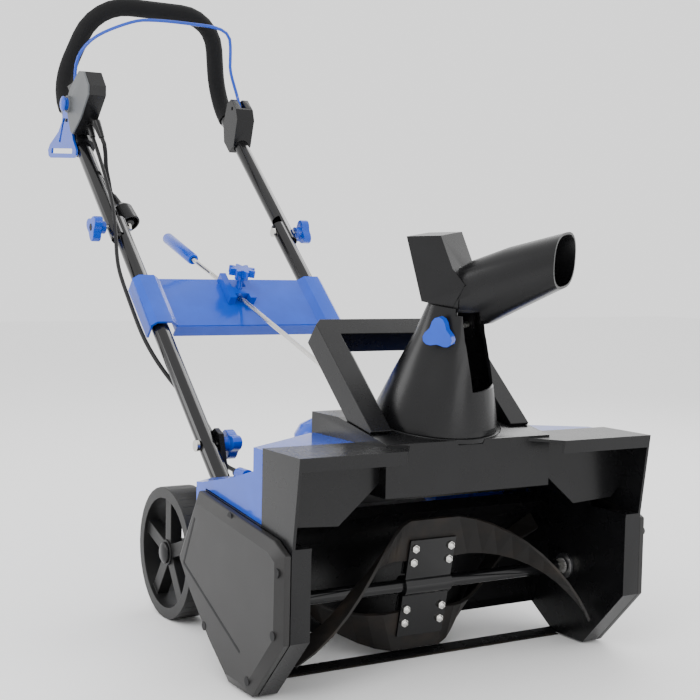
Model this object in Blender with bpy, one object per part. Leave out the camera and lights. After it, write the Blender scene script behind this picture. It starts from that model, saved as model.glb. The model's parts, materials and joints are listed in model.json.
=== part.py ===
"""Corded electric single-stage snow thrower, 18 inch intake, as an assembly of separate pieces.

Metres, +Z up. The origin is the centre of the scraper bar's underside, on the ground.
X runs along the auger, the intake faces -Y, and the handle rises towards +Y.
"""
import math

import bmesh
import bpy
from mathutils import Matrix, Vector

# --- driving dimensions -------------------------------------------------
FRONT = -0.140          # intake lip plane
HALF_WIDTH = 0.238      # outside of the auger housing
INNER_HALF = 0.215      # inside of the auger chamber
DECK_TOP = 0.2728
LIP_DROP = 0.015
WALL = 0.0035
GAP = 0.0003            # between touching pieces
RUNNING = 0.0004        # round a turning shaft

AUGER_AFT, AUGER_Z = 0.125, 0.092
AUGER_R = 0.084
DRUM_R = 0.0905
SHAFT_R = 0.008
CLAMP_HALF = 0.036

WHEEL_AFT, WHEEL_R = 0.438, 0.0865
WHEEL_OUT, WHEEL_IN = 0.203, 0.161
AXLE_R = 0.006

TUBE_R = 0.0125
TUBE_WALL = 0.0013
TUBE_ANGLE = math.radians(41.4)
LOWER_X, UPPER_X = 0.1395, 0.147
FLAT_X = 0.1432         # where the crushed tube ends meet
FOLD_AFT, FOLD_Z = 0.7782, 0.518
LOOP_BEND_AFT, LOOP_BEND_R = 1.0533, 0.0705
LOOP_BEND_Z = FOLD_Z + (LOOP_BEND_AFT - FOLD_AFT) * math.tan(TUBE_ANGLE)
LOOP_TOP_X, LOOP_TOP_AFT, LOOP_TOP_Z, LOOP_TOP_R = 0.1063, 0.9869, 0.8946, 0.079
LOWER_KNOB_Z = 0.2245
KNOB_R = 0.022

CHUTE_AFT, CHUTE_Z = 0.111, 0.289
CHUTE_TILT = math.radians(9.5)
CHUTE_TURN = math.radians(56)   # discharge direction, from +X towards the front
CHUTE_R = 0.0746
TILT_U, TILT_W = 0.015, 0.1146  # deflector pivot in the chute's own frame

MOTOR_AFT, MOTOR_Z, MOTOR_R = 0.238, 0.160, 0.0355
MOTOR_PULLEY_R, AUGER_PULLEY_R = 0.0095, 0.045
IDLER_R = 0.010
BELT_X = (-0.2320, -0.2235)
BELT_IN, BELT_OUT = 0.0010, 0.0034      # the belt's two faces outside the pulley rims
PLINTH_X = 0.1125

CRANK_ANGLE = math.radians(18)
CRANK_AFT, CRANK_Z = 0.647, 0.418
CRANK_R = 0.0035
CRANK_ELBOW = 0.105     # from the bracket to the crank's arm
ARM_X, ARM_LIFT = -0.030, 0.020

BAIL_AFT, BAIL_Z, BAIL_R = 0.953, 0.735, 0.0028
BOX_X = (-0.1655, -0.139)
PIGTAIL_R, CABLE_R = 0.0034, 0.0031

SIDE = [(0.0147, 0.170), (0.0154, 0.0765), (0.087, 0.002), (0.146, 0.002), (0.196, 0.034),
        (0.248, 0.076), (0.2875, 0.116), (0.2317, 0.2046), (0.040, 0.182)]

COLOURS = {
    "black_plastic": ((0.018, 0.018, 0.021), 0.38, 0.0),
    "satin_plastic": ((0.075, 0.073, 0.072), 0.45, 0.0),
    "blue_plastic": ((0.010, 0.095, 0.42), 0.28, 0.0),
    "black_paint": ((0.012, 0.012, 0.013), 0.22, 0.3),
    "foam": ((0.014, 0.014, 0.016), 0.85, 0.0),
    "zinc": ((0.62, 0.61, 0.58), 0.28, 1.0),
    "rubber": ((0.022, 0.020, 0.019), 0.65, 0.0),
    "grey_plastic": ((0.30, 0.31, 0.33), 0.42, 0.0),
    "steel": ((0.22, 0.22, 0.23), 0.40, 1.0),
    "cable": ((0.015, 0.015, 0.016), 0.42, 0.0),
}


def aft(distance):
    """The Y of a point this far behind the intake lip."""
    return FRONT + distance


# --- scene and materials ------------------------------------------------
for old in list(bpy.data.objects):
    bpy.data.objects.remove(old, do_unlink=True)


def material(kind):
    found = bpy.data.materials.get(kind)
    if found:
        return found
    colour, rough, metal = COLOURS[kind]
    made = bpy.data.materials.new(kind)
    made.use_nodes = True
    shader = made.node_tree.nodes["Principled BSDF"]
    shader.inputs["Base Color"].default_value = (*colour, 1.0)
    shader.inputs["Roughness"].default_value = rough
    shader.inputs["Metallic"].default_value = metal
    return made


def keep(name, mesh_builder, kind):
    """Store a finished bmesh as a named object with its material."""
    bmesh.ops.recalc_face_normals(mesh_builder, faces=mesh_builder.faces)
    mesh = bpy.data.meshes.new(name)
    mesh_builder.to_mesh(mesh)
    mesh_builder.free()
    made = bpy.data.objects.new(name, mesh)
    bpy.context.scene.collection.objects.link(made)
    mesh.materials.append(material(kind))
    mesh.shade_smooth()
    mesh.set_sharp_from_angle(angle=math.radians(35))
    return made


def hidden(tool):
    tool.hide_render = True
    tool.display_type = "WIRE"
    return tool


def boolean(target, tool, operation):
    step = target.modifiers.new(tool.name, "BOOLEAN")
    step.operation = operation
    step.solver = "EXACT"
    step.object = hidden(tool)


def cut(target, *tools):
    for tool in tools:
        boolean(target, tool, "DIFFERENCE")


def join(target, *tools):
    for tool in tools:
        boolean(target, tool, "UNION")


# --- shape tools ----------------------------------------------------------
AXES = {"X": (Vector((0, 1, 0)), Vector((0, 0, 1)), Vector((1, 0, 0))),
        "Y": (Vector((1, 0, 0)), Vector((0, 0, 1)), Vector((0, 1, 0))),
        "Z": (Vector((1, 0, 0)), Vector((0, 1, 0)), Vector((0, 0, 1)))}


def prism(name, outline, axis, low, high, kind="black_plastic", place=None):
    """An outline of (a, b) points, pushed along an axis from low to high."""
    first, second, along = AXES[axis]
    shape = bmesh.new()
    ring = [shape.verts.new(first * a + second * b + along * low) for a, b in outline]
    face = shape.faces.new(ring)
    pushed = bmesh.ops.extrude_face_region(shape, geom=[face])
    moved = [item for item in pushed["geom"] if isinstance(item, bmesh.types.BMVert)]
    bmesh.ops.translate(shape, verts=moved, vec=along * (high - low))
    if place:
        bmesh.ops.transform(shape, matrix=place, verts=shape.verts)
    return keep(name, shape, kind)


def block(name, low, high, kind="black_plastic", place=None):
    outline = [(low[0], low[1]), (high[0], low[1]), (high[0], high[1]), (low[0], high[1])]
    return prism(name, outline, "Z", low[2], high[2], kind, place)


def turned(name, profile, centre, direction, kind="black_plastic", steps=24):
    """A closed profile of (radius, height) points spun about a direction through centre."""
    shape = bmesh.new()
    on_axis = profile[0][0] == 0 and profile[-1][0] == 0
    ring = [shape.verts.new((r, 0, h)) for r, h in profile]
    edges = [shape.edges.new(pair) for pair in zip(ring, ring[1:])]
    if not on_axis:
        edges.append(shape.edges.new((ring[-1], ring[0])))
    bmesh.ops.spin(shape, geom=ring + edges, axis=(0, 0, 1), cent=(0, 0, 0),
                   angle=math.tau, steps=steps, use_merge=True, use_duplicate=False)
    bmesh.ops.remove_doubles(shape, verts=shape.verts, dist=1e-6)
    turn = Vector((0, 0, 1)).rotation_difference(Vector(direction)).to_matrix().to_4x4()
    bmesh.ops.transform(shape, matrix=Matrix.Translation(centre) @ turn, verts=shape.verts)
    return keep(name, shape, kind)


def rod(name, start, end, radius, kind="steel", steps=16, place=None):
    start, end = Vector(start), Vector(end)
    if place:
        start, end = place @ start, place @ end
    length = (end - start).length
    profile = [(0, 0), (radius, 0), (radius, length), (0, length)]
    return turned(name, profile, start, end - start, kind, steps)


def ring_between(name, start, end, inner, outer, kind="steel", steps=24):
    start, end = Vector(start), Vector(end)
    length = (end - start).length
    profile = [(inner, 0), (outer, 0), (outer, length), (inner, length)]
    return turned(name, profile, start, end - start, kind, steps)


def smooth_route(points, spacing):
    """Points at an even spacing on a Catmull-Rom curve through the given points."""
    route = [Vector(p) for p in points]
    ends = [route[0] * 2 - route[1]] + route + [route[-1] * 2 - route[-2]]
    fine = []
    for a, b, c, d in zip(ends, ends[1:], ends[2:], ends[3:]):
        for step in range(20):
            t = step / 20
            fine.append(0.5 * ((2 * b) + (c - a) * t + (2 * a - 5 * b + 4 * c - d) * t ** 2
                               + (3 * b - a - 3 * c + d) * t ** 3))
    fine.append(route[-1])
    total = sum((q - p).length for p, q in zip(fine, fine[1:]))
    count = max(2, round(total / spacing))
    even, run, target = [fine[0]], 0.0, total / count
    for p, q in zip(fine, fine[1:]):
        step = (q - p).length
        while run + step >= target and len(even) < count:
            even.append(p.lerp(q, (target - run) / step))
            target += total / count
        run += step
    even.append(fine[-1])
    return even


def rounded(points, radii, steps=6):
    """A polyline with its inner corners rounded by arcs of the given radii."""
    route = [Vector(p) for p in points]
    out = [route[0]]
    for before, corner, after, radius in zip(route, route[1:], route[2:], radii):
        inward, onward = (before - corner).normalized(), (after - corner).normalized()
        half = inward.angle(onward) / 2
        reach = radius / math.tan(half)
        centre = corner + (inward + onward).normalized() * (radius / math.sin(half))
        begin, end = corner + inward * reach - centre, corner + onward * reach - centre
        turn = begin.rotation_difference(end)
        for step in range(steps + 1):
            part = turn.copy()
            part = part.to_exponential_map() * (step / steps)
            out.append(centre + Matrix.Rotation(part.length, 3, part.normalized() if part.length else turn.axis)
                       @ begin)
    out.append(route[-1])
    return out


def piped(name, points, radius, kind, resolution=3):
    """A round bar along a polyline, with filled caps, as a mesh."""
    curve = bpy.data.curves.new(name, "CURVE")
    curve.dimensions = "3D"
    curve.bevel_depth = radius
    curve.bevel_resolution = resolution
    curve.render_resolution_u = 0
    curve.use_fill_caps = True
    spline = curve.splines.new("POLY")
    spline.points.add(len(points) - 1)
    for target, point in zip(spline.points, points):
        target.co = (*point, 1.0)
    made = bpy.data.objects.new(name, curve)
    bpy.context.scene.collection.objects.link(made)
    curve.materials.append(material(kind))
    return made


def piped_mesh(name, points, radius, kind, resolution=3):
    """The same bar turned into a mesh, so that Booleans can use it."""
    source = piped(name + "_curve", points, radius, kind, resolution)
    mesh = bpy.data.meshes.new_from_object(source.evaluated_get(bpy.context.evaluated_depsgraph_get()))
    bpy.data.objects.remove(source, do_unlink=True)
    shape = bmesh.new()
    shape.from_mesh(mesh)
    bmesh.ops.remove_doubles(shape, verts=shape.verts, dist=1e-5)
    bpy.data.meshes.remove(mesh)
    return keep(name, shape, kind)


def lofted(name, sections, kind, place=None):
    """Bridge equal rings of points one after another and close both ends."""
    shape = bmesh.new()
    rings = [[shape.verts.new(p) for p in section] for section in sections]
    for low, high in zip(rings, rings[1:]):
        for i in range(len(low)):
            j = (i + 1) % len(low)
            shape.faces.new((low[i], low[j], high[j], high[i]))
    shape.faces.new(rings[0][::-1])
    shape.faces.new(rings[-1])
    if place:
        bmesh.ops.transform(shape, matrix=place, verts=shape.verts)
    return keep(name, shape, kind)


def lobed_knob(name, centre, direction, radius, depth, lobes=3, kind="blue_plastic", bore=0.0, spin=0.0):
    """A star knob: a wavy outline pushed along its axis, on a round boss."""
    count = lobes * 8
    outline = []
    for i in range(count):
        angle = math.tau * i / count + spin
        wave = radius * (0.80 + 0.20 * math.cos(lobes * (angle - spin)))
        outline.append((wave * math.cos(angle), wave * math.sin(angle)))
    turn = Vector((0, 0, 1)).rotation_difference(Vector(direction)).to_matrix().to_4x4()
    place = Matrix.Translation(centre) @ turn
    knob = prism(name, outline, "Z", depth * 0.4, depth, kind, place)
    boss = rod(name + "_boss_tool", (0, 0, 0), (0, 0, depth * 0.6), radius * 0.45, kind, 16, place)
    join(knob, boss)
    if bore:
        cut(knob, rod(name + "_bore_tool", (0, 0, -0.001), (0, 0, depth * 0.75), bore, kind, 12, place))
    return knob


# --- auger housing --------------------------------------------------------
def arc(centre, radius, start, end, steps):
    return [(centre[0] + radius * math.cos(math.radians(start + (end - start) * i / steps)),
             centre[1] + radius * math.sin(math.radians(start + (end - start) * i / steps)))
            for i in range(steps + 1)]


def side_view(outline):
    return [(aft(a), z) for a, z in outline]


def inset_side(amount):
    """The side outline moved inwards by an even amount."""
    pulled = []
    count = len(SIDE)
    for i in range(count):
        before, here, after = (Vector(SIDE[j % count]) for j in (i - 1, i, i + 1))
        first, second = (here - before).normalized(), (after - here).normalized()
        inward = (Vector((-first.y, first.x)) + Vector((-second.y, second.x))).normalized()
        scale = amount / max(0.3, inward.dot(Vector((-second.y, second.x))))
        pulled.append(tuple(here + inward * scale))
    return pulled


def plinth_outline(lift):
    """The chute's raised seat in side view, its top moved up by lift."""
    return [(0.036, 0.2160), (0.036, 0.2752 + lift), (0.143, 0.2945 + lift), (0.205, 0.2945 + lift), (0.205, 0.2160)]


def build_housing():
    axis = (AUGER_AFT, AUGER_Z)
    outer = [(0, DECK_TOP)] + SIDE[:8] + [(0.196, 0.2046), (0.196, 0.2190), (0.085, 0.2190), (0.085, DECK_TOP)]
    housing = prism("auger_housing", side_view(outer), "X", -HALF_WIDTH, HALF_WIDTH)
    drum = arc(axis, DRUM_R, -82, 55, 12)
    lower = [(-0.05, -0.05), (drum[0][0], -0.05)] + drum + [(0.1925, 0.182), (0.1925, 0.186), (-0.05, 0.186)]
    cut(housing, prism("chamber_tool", side_view(lower), "X", -INNER_HALF, INNER_HALF))
    ceiling = DECK_TOP - WALL
    front = [(-0.05, 0.176), (0.0817, 0.176), (0.0817, ceiling), (WALL, ceiling), (WALL, DECK_TOP - LIP_DROP),
             (-0.05, DECK_TOP - LIP_DROP)]
    half = HALF_WIDTH - WALL
    cut(housing, prism("front_room_tool", side_view(front), "X", -half, half))
    rear_room = [(0.0800, 0.177), (0.1925, 0.177), (0.1925, 0.2155), (0.0800, 0.2155)]
    cut(housing, prism("rear_room_tool", side_view(rear_room), "X", -0.2080, 0.2080))
    shoulder = [(0.0853, 0.300), (0.0853, 0.1877), (0.2317, 0.2050), (0.2400, 0.300)]
    back = arc(axis, DRUM_R + WALL, -78, 52, 12)
    rear = [(back[0][0], -0.02)] + back + [(0.1962, 0.186), (0.1962, 0.2045), (0.30, 0.2045), (0.32, -0.02)]
    cut(housing, prism("belly_tool", side_view(rear), "X", -INNER_HALF + 0.0005, INNER_HALF - 0.0005))
    for side in (-1, 1):
        low, high = sorted((side * 0.2115, side * 0.26))
        cut(housing, prism(f"shoulder_tool_{side}", side_view(shoulder), "X", low, high))
        low, high = sorted((side * (INNER_HALF + WALL), side * 0.26))
        cut(housing, prism(f"pan_tool_{side}", side_view(inset_side(WALL)), "X", low, high))
        cut(housing, rod(f"bearing_hole_{side}", (side * 0.20, aft(AUGER_AFT), AUGER_Z),
                         (side * 0.23, aft(AUGER_AFT), AUGER_Z), 0.0163, steps=24))
        web = [(side * 0.1045, 0.2702), (side * 0.2362, 0.2702), (side * 0.2362, 0.205), (side * 0.222, 0.1915),
               (side * 0.163, 0.188), (side * 0.1045, 0.238)]
        join(housing, prism(f"web_tool_{side}", web, "Y", aft(0.050), aft(0.053)))
    notch = [(-0.108, aft(-0.01)), (-0.108, aft(0)), (-0.080, aft(0.0395)), (0.080, aft(0.0395)),
             (0.108, aft(0)), (0.108, aft(-0.01))]
    cut(housing, prism("lip_notch_tool", notch, "Z", 0.250, 0.300))
    cut(housing, rod("motor_shaft_hole", (-0.23, aft(MOTOR_AFT), MOTOR_Z), (-0.20, aft(MOTOR_AFT), MOTOR_Z),
                     0.0075, steps=16))
    idler = idler_centre()
    join(housing, rod("idler_stud_tool", (-0.2160, *idler), (BELT_X[0] - 0.0010, *idler), 0.0040, steps=12))
    join(housing, prism("plinth_tool", side_view(plinth_outline(0)), "X", -PLINTH_X, PLINTH_X))
    lean = Matrix.Rotation(CHUTE_TILT, 4, "X")
    centre = Vector((0, aft(CHUTE_AFT), CHUTE_Z))
    down = lean @ Vector((0, 0, -1))
    join(housing, rod("throat_tool", centre + down * 0.066, centre + down * 0.008, 0.0700, steps=32))
    cut(housing, rod("throat_bore_tool", centre + down * 0.09, centre - down * 0.03, 0.0665, steps=32))
    cut(housing, rod("ring_seat_tool", centre + down * 0.0065, centre - down * 0.03, 0.0790, steps=32))
    cut(housing, block("worm_room_tool", (-0.0095, aft(0.1905), 0.2580), (0.0095, aft(0.2100), 0.2850)))


def build_side_covers():
    for side, label in ((-1, "left"), (1, "right")):
        low, high = sorted((side * (HALF_WIDTH + GAP), side * 0.2455))
        cover = prism(f"{label}_side_cover", side_view(SIDE), "X", low, high, "satin_plastic")
        shape = bmesh.new()
        shape.from_mesh(cover.data)
        face = max(shape.faces, key=lambda f: side * f.calc_center_median().x)
        bmesh.ops.inset_region(shape, faces=[face], thickness=0.012, depth=0.0065, use_even_offset=True)
        shape.to_mesh(cover.data)
        shape.free()
        low, high = sorted((side * 0.23, side * 0.2425))
        cut(cover, prism(f"{label}_cover_hollow", side_view(inset_side(0.004)), "X", low, high))


def build_scraper():
    outline = [(-0.006, 0.0), (0.010, 0.0), (0.010, 0.0020), (-0.006, 0.0012)]
    prism("scraper_bar", outline, "X", -INNER_HALF + GAP, INNER_HALF - GAP, "rubber")


def cover_solid(name, inset):
    """The blue cover's outer shape, or with an inset the room inside it."""
    low = [(0.0858, 0.1884), (0.0858, 0.2600), (0.1120, 0.2440), (0.1650, 0.2290), (0.2450, 0.2120),
           (0.3180, 0.2030), (0.3480, 0.1920), (0.3500, 0.1200), (0.2937, 0.1200), (0.2352, 0.2060)]
    if inset:
        low = [(0.0888, 0.1800), (0.0888, 0.2555), (0.1112, 0.2410), (0.1643, 0.2260), (0.2445, 0.2090),
               (0.3170, 0.1999), (0.3452, 0.1896), (0.3468, 0.1100), (0.2800, 0.1100), (0.2300, 0.1800)]
    half = 0.2355 - inset
    solid = prism(name, side_view(low), "X", -half, half, "blue_plastic")
    for side in (-1, 1):
        corner = [(side * (half - 0.001), aft(0.2625)), (side * 0.26, aft(0.2625)), (side * 0.26, aft(0.37)),
                  (side * (0.165 - inset - 0.016), aft(0.37)), (side * (0.165 - inset), aft(0.3502))]
        cut(solid, prism(f"{name}_corner_{side}", corner, "Z", 0.05, 0.35))
    front = 0.0855 + inset
    plan = [(-half, aft(front)), (half, aft(front)), (half, aft(0.1120 - inset / 2)), (0.120, aft(0.1950 - inset)),
            (-0.120, aft(0.1950 - inset)), (-half, aft(0.1120 - inset / 2))]
    join(solid, prism(f"{name}_block", plan, "Z", 0.1995 if inset else 0.2005, 0.2700 - inset, "blue_plastic"))
    dome = [(0, 0), (0.045 - inset, 0), (0.045 - inset, 0.052), (0.038 - inset, 0.064), (0.022, 0.072 - inset),
            (0, 0.075 - inset)]
    join(solid, turned(f"{name}_dome", dome, (-0.055, aft(0.2620), 0.2055), (0, 0, 1), "blue_plastic", 24))
    return solid


def build_motor_cover():
    cover = cover_solid("motor_cover", 0)
    cut(cover, hidden(cover_solid("cover_room", 0.003)))
    for side in (-1, 1):
        low, high = sorted((side * 0.2118, side * 0.10))
        cut(cover, block(f"cover_deck_tool_{side}", (low, aft(0.080), 0.15), (high, aft(0.1964), 0.2193)))
    cut(cover, block("cover_plinth_tool", (-PLINTH_X - GAP, aft(0.080), 0.150), (PLINTH_X + GAP, aft(0.2053), 0.320)))
    join(cover, rod("gland_seat_tool", (-0.135, aft(0.3300), 0.1990), (-0.135, aft(0.3540), 0.1990), 0.0085, steps=16))
    turned("cable_gland", [(CABLE_R + GAP, 0), (0.0070, 0), (0.0048, 0.012), (CABLE_R + GAP, 0.012)],
           (-0.135, aft(0.3543), 0.1990), (0, 1, 0), "black_plastic", 16)


def idler_centre():
    """The idler's place, just outside the belt's upper run, as (Y, Z)."""
    big, small = Vector((aft(AUGER_AFT), AUGER_Z)), Vector((aft(MOTOR_AFT), MOTOR_Z))
    along = small - big
    angle = math.atan2(along.y, along.x) + math.acos((AUGER_PULLEY_R - MOTOR_PULLEY_R) / along.length)
    outward = Vector((math.cos(angle), math.sin(angle)))
    on_run = (big + outward * AUGER_PULLEY_R).lerp(small + outward * MOTOR_PULLEY_R, 0.6)
    return tuple(on_run + outward * (BELT_OUT + RUNNING + IDLER_R))


def build_drive():
    y, z = aft(MOTOR_AFT), MOTOR_Z
    motor = turned("motor_can", [(0, 0), (0.028, 0), (MOTOR_R, 0.008), (MOTOR_R, 0.15), (0.028, 0.158), (0, 0.158)],
                   (-0.100, y, z), (1, 0, 0), "steel", 28)
    cut(motor, rod("motor_shaft_bore", (-0.12, y, z), (0.03, y, z), 0.0044))
    shaft = rod("motor_pulley", (-0.2325, y, z), (0.025, y, z), 0.004, "steel", 16)
    join(shaft, rod("motor_pulley_tool", (BELT_X[0] + 0.0005, y, z), (BELT_X[1], y, z), MOTOR_PULLEY_R, steps=20))
    ay, az = aft(AUGER_AFT), AUGER_Z
    ring_between("auger_pulley", (BELT_X[0], ay, az), (BELT_X[1], ay, az), SHAFT_R + GAP, AUGER_PULLEY_R,
                 "black_plastic", 36)
    idler = idler_centre()
    ring_between("idler_pulley", (BELT_X[0], *idler), (BELT_X[1], *idler), 0.0040 + RUNNING, IDLER_R, "steel", 20)
    build_belt((ay, az), (y, z))


def belt_loop(big, small, gap):
    """The outline of a belt round both pulleys, gap outside their rims."""
    along = Vector((small[0] - big[0], small[1] - big[1]))
    spread = math.acos((AUGER_PULLEY_R - MOTOR_PULLEY_R) / along.length)
    base = math.atan2(along.y, along.x)
    outline = []
    for centre, radius, start, end, steps in ((big, AUGER_PULLEY_R, spread, math.tau - spread, 20),
                                              (small, MOTOR_PULLEY_R, -spread, spread, 8)):
        for i in range(steps + 1):
            angle = base + start + (end - start) * i / steps
            outline.append((centre[0] + (radius + gap) * math.cos(angle),
                            centre[1] + (radius + gap) * math.sin(angle)))
    return outline


def build_belt(big, small):
    low, high = BELT_X[0] + 0.001, BELT_X[1] - 0.001
    belt = prism("drive_belt", belt_loop(big, small, BELT_OUT), "X", low, high, "rubber")
    cut(belt, prism("belt_room_tool", belt_loop(big, small, BELT_IN), "X", low - 0.01, high + 0.01))


# --- auger ------------------------------------------------------------------
def auger_point(x, radius, angle, offset):
    """A point of a blade: radius from the shaft, angle forward from straight up, offset from the blade's middle."""
    y = -radius * math.sin(angle) - offset * math.cos(angle)
    z = radius * math.cos(angle) - offset * math.sin(angle)
    return (x, aft(AUGER_AFT) + y, AUGER_Z + z)


def blade_angle(x, start):
    """Flat between the clamp plates, then winding forwards towards both ends."""
    return start + math.radians(115) * (max(0.0, abs(x) - CLAMP_HALF) / (0.200 - CLAMP_HALF)) ** 1.18


def build_auger():
    y, z = aft(AUGER_AFT), AUGER_Z
    rod("auger_shaft", (-0.2325, y, z), (0.2215, y, z), SHAFT_R, "zinc", 20)
    lean = math.radians(13)
    for label, start in (("upper", lean), ("lower", lean + math.pi)):
        sections = []
        for i in range(-12, 13):
            x = 0.205 * i / 12
            angle = blade_angle(x, start)
            inner = 0.026 + 0.034 * min(1.0, abs(x) / 0.16)
            sections.append([auger_point(x, r, angle, t) for r, t in
                             ((inner, -0.0025), (AUGER_R, -0.0025), (AUGER_R, 0.0025), (inner, 0.0025))])
        lofted(f"{label}_paddle", sections, "rubber")
    for name, start, end, low, high in (("front_clamp_plate", -0.064, 0.060, 0.0029, 0.0059),
                                        ("rear_clamp_plate_upper", 0.014, 0.060, -0.0059, -0.0029),
                                        ("rear_clamp_plate_lower", -0.064, -0.014, -0.0059, -0.0029)):
        corners = [(start, low), (end, low), (end, high), (start, high)]
        sections = [[auger_point(x, r, lean, t) for r, t in corners] for x in (-0.032, 0.032)]
        plate = lofted(name, sections, "black_paint")
        if name == "front_clamp_plate":
            join(plate, rod("hub_tool", (-0.0325, y, z), (0.0325, y, z), 0.0125, steps=20))
            cut(plate, rod("hub_bore_tool", (-0.04, y, z), (0.04, y, z), SHAFT_R + GAP, steps=20))
    for side, label in ((-1, "left"), (1, "right")):
        ring_between(f"{label}_bearing", (side * 0.2120, y, z), (side * 0.2200, y, z), SHAFT_R + RUNNING, 0.0160,
                     "steel", 24)


# --- wheels and frame -------------------------------------------------------
def build_wheels():
    y, z = aft(WHEEL_AFT), WHEEL_R
    rod("wheel_axle", (-0.2000, y, z), (0.2000, y, z), AXLE_R, "zinc", 16)
    for side, label in ((-1, "left"), (1, "right")):
        outer, inner = side * WHEEL_OUT, side * WHEEL_IN
        wheel = ring_between(f"{label}_wheel", (outer, y, z), (inner, y, z), WHEEL_R - 0.0145, WHEEL_R, "rubber", 36)
        join(wheel, rod(f"{label}_hub_tool", (side * 0.2012, y, z), (inner, y, z), 0.0170, steps=20))
        for i in range(5):
            turn = Matrix.Translation((0, y, z)) @ Matrix.Rotation(math.tau * i / 5, 4, "X")
            low, high = sorted((side * 0.1975, side * 0.1815))
            join(wheel, block(f"{label}_spoke_tool_{i}", (low, -0.009, 0.010), (high, 0.009, 0.0775), place=turn))
        cut(wheel, rod(f"{label}_wheel_bore", (side * 0.2003, y, z), (side * 0.15, y, z), AXLE_R + RUNNING, steps=16))
        turned(f"{label}_hub_cap", [(0, 0), (0.0145, 0), (0.0140, 0.0025), (0.0095, 0.0050), (0, 0.0060)],
               (side * 0.2015, y, z), (side, 0, 0), "black_plastic", 20)


def on_tube(height):
    """Y of the handle tubes' centre line at a height."""
    return aft(FOLD_AFT + (height - FOLD_Z) / math.tan(TUBE_ANGLE))


def build_rear_frame():
    deck = [(0.2200, 0.0720), (0.2200, 0.1030), (0.3500, 0.1150), (0.4560, 0.1050), (0.4560, 0.0660), (0.3000, 0.0560)]
    frame = prism("rear_frame", side_view(deck), "X", -0.150, 0.150)
    cut(frame, block("frame_hollow_tool", (-0.112, aft(0.240), 0.02), (0.112, aft(0.449), 0.100)))
    cut(frame, rod("axle_hole_tool", (-0.17, aft(WHEEL_AFT), WHEEL_R), (0.17, aft(WHEEL_AFT), WHEEL_R),
                   AXLE_R + GAP, steps=16))
    lug = [(0.404, 0.100), (0.448, 0.100), (0.468, 0.236), (0.452, 0.246), (0.436, 0.240), (0.420, 0.190)]
    for side, label in ((-1, "left"), (1, "right")):
        low, high = sorted((side * 0.1195, side * 0.1266))
        join(frame, prism(f"{label}_lug_tool", side_view(lug), "X", low, high))
        knob_y = on_tube(LOWER_KNOB_Z)
        cut(frame, rod(f"{label}_lug_hole", (side * 0.11, knob_y, LOWER_KNOB_Z),
                       (side * 0.135, knob_y, LOWER_KNOB_Z), 0.0043, steps=12))


# --- handle -----------------------------------------------------------------
def fold_hole(label, side, low, high, height):
    return rod(f"{label}_hole", (side * low, on_tube(height), height), (side * high, on_tube(height), height),
               0.0043, steps=12)


def build_lower_tubes():
    along = Vector((0, math.cos(TUBE_ANGLE), math.sin(TUBE_ANGLE)))
    for side, label in ((-1, "left"), (1, "right")):
        start = Vector((side * LOWER_X, on_tube(0.157), 0.157))
        end = Vector((side * LOWER_X, aft(FOLD_AFT), FOLD_Z)) + along * 0.014
        tube = rod(f"lower_tube_{label}", start, end, TUBE_R, "black_paint", 20)
        cut(tube, rod(f"{label}_tube_bore", start - along * 0.005, end + along * 0.005, TUBE_R - TUBE_WALL, steps=20))
        low, high = sorted((side * (FLAT_X - GAP / 2), side * 0.17))
        turn = Matrix.Translation((0, aft(FOLD_AFT), FOLD_Z)) @ Matrix.Rotation(TUBE_ANGLE, 4, "X")
        cut(tube, block(f"{label}_lower_flat_tool", (low, -0.028, -0.03), (high, 0.05, 0.03), place=turn))
        cut(tube, fold_hole(f"{label}_lower_fold", side, 0.12, 0.17, FOLD_Z))
        cut(tube, fold_hole(f"{label}_lower_knob", side, 0.12, 0.17, LOWER_KNOB_Z))
        knob_y = on_tube(LOWER_KNOB_Z)
        bolt = rod(f"lower_bolt_{label}", (side * 0.1085, knob_y, LOWER_KNOB_Z),
                   (side * 0.1545, knob_y, LOWER_KNOB_Z), 0.0040, "zinc", 12)
        join(bolt, rod(f"lower_bolt_head_{label}", (side * 0.1528, knob_y, LOWER_KNOB_Z),
                       (side * 0.1573, knob_y, LOWER_KNOB_Z), 0.0080, "zinc", 16))
        lobed_knob(f"lower_knob_{label}", (side * 0.1190, knob_y, LOWER_KNOB_Z), (-side, 0, 0), KNOB_R, 0.022,
                   bore=0.0043, spin=0.3)
        bolt = rod(f"upper_bolt_{label}", (side * 0.1255, aft(FOLD_AFT), FOLD_Z),
                   (side * 0.1740, aft(FOLD_AFT), FOLD_Z), 0.0040, "zinc", 12)
        join(bolt, rod(f"upper_bolt_head_{label}", (side * 0.1228, aft(FOLD_AFT), FOLD_Z),
                       (side * 0.1266, aft(FOLD_AFT), FOLD_Z), 0.0075, "zinc", 16))
        lobed_knob(f"upper_knob_{label}", (side * 0.1640, aft(FOLD_AFT), FOLD_Z), (side, 0, 0), KNOB_R, 0.022,
                   bore=0.0043, spin=1.2)


def handle_route():
    """The bent tube: straight legs, a forward bend, two corners and the top bar."""
    half = [(-UPPER_X, aft(FOLD_AFT - 0.0181), FOLD_Z - 0.0181 * math.tan(TUBE_ANGLE)), (-UPPER_X, aft(LOOP_BEND_AFT), LOOP_BEND_Z),
            (-LOOP_TOP_X, aft(LOOP_TOP_AFT), LOOP_TOP_Z)]
    other = [(-x, y, z) for x, y, z in reversed(half)]
    return rounded(half + other, [LOOP_BEND_R, LOOP_TOP_R, LOOP_TOP_R, LOOP_BEND_R], 6)


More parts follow.
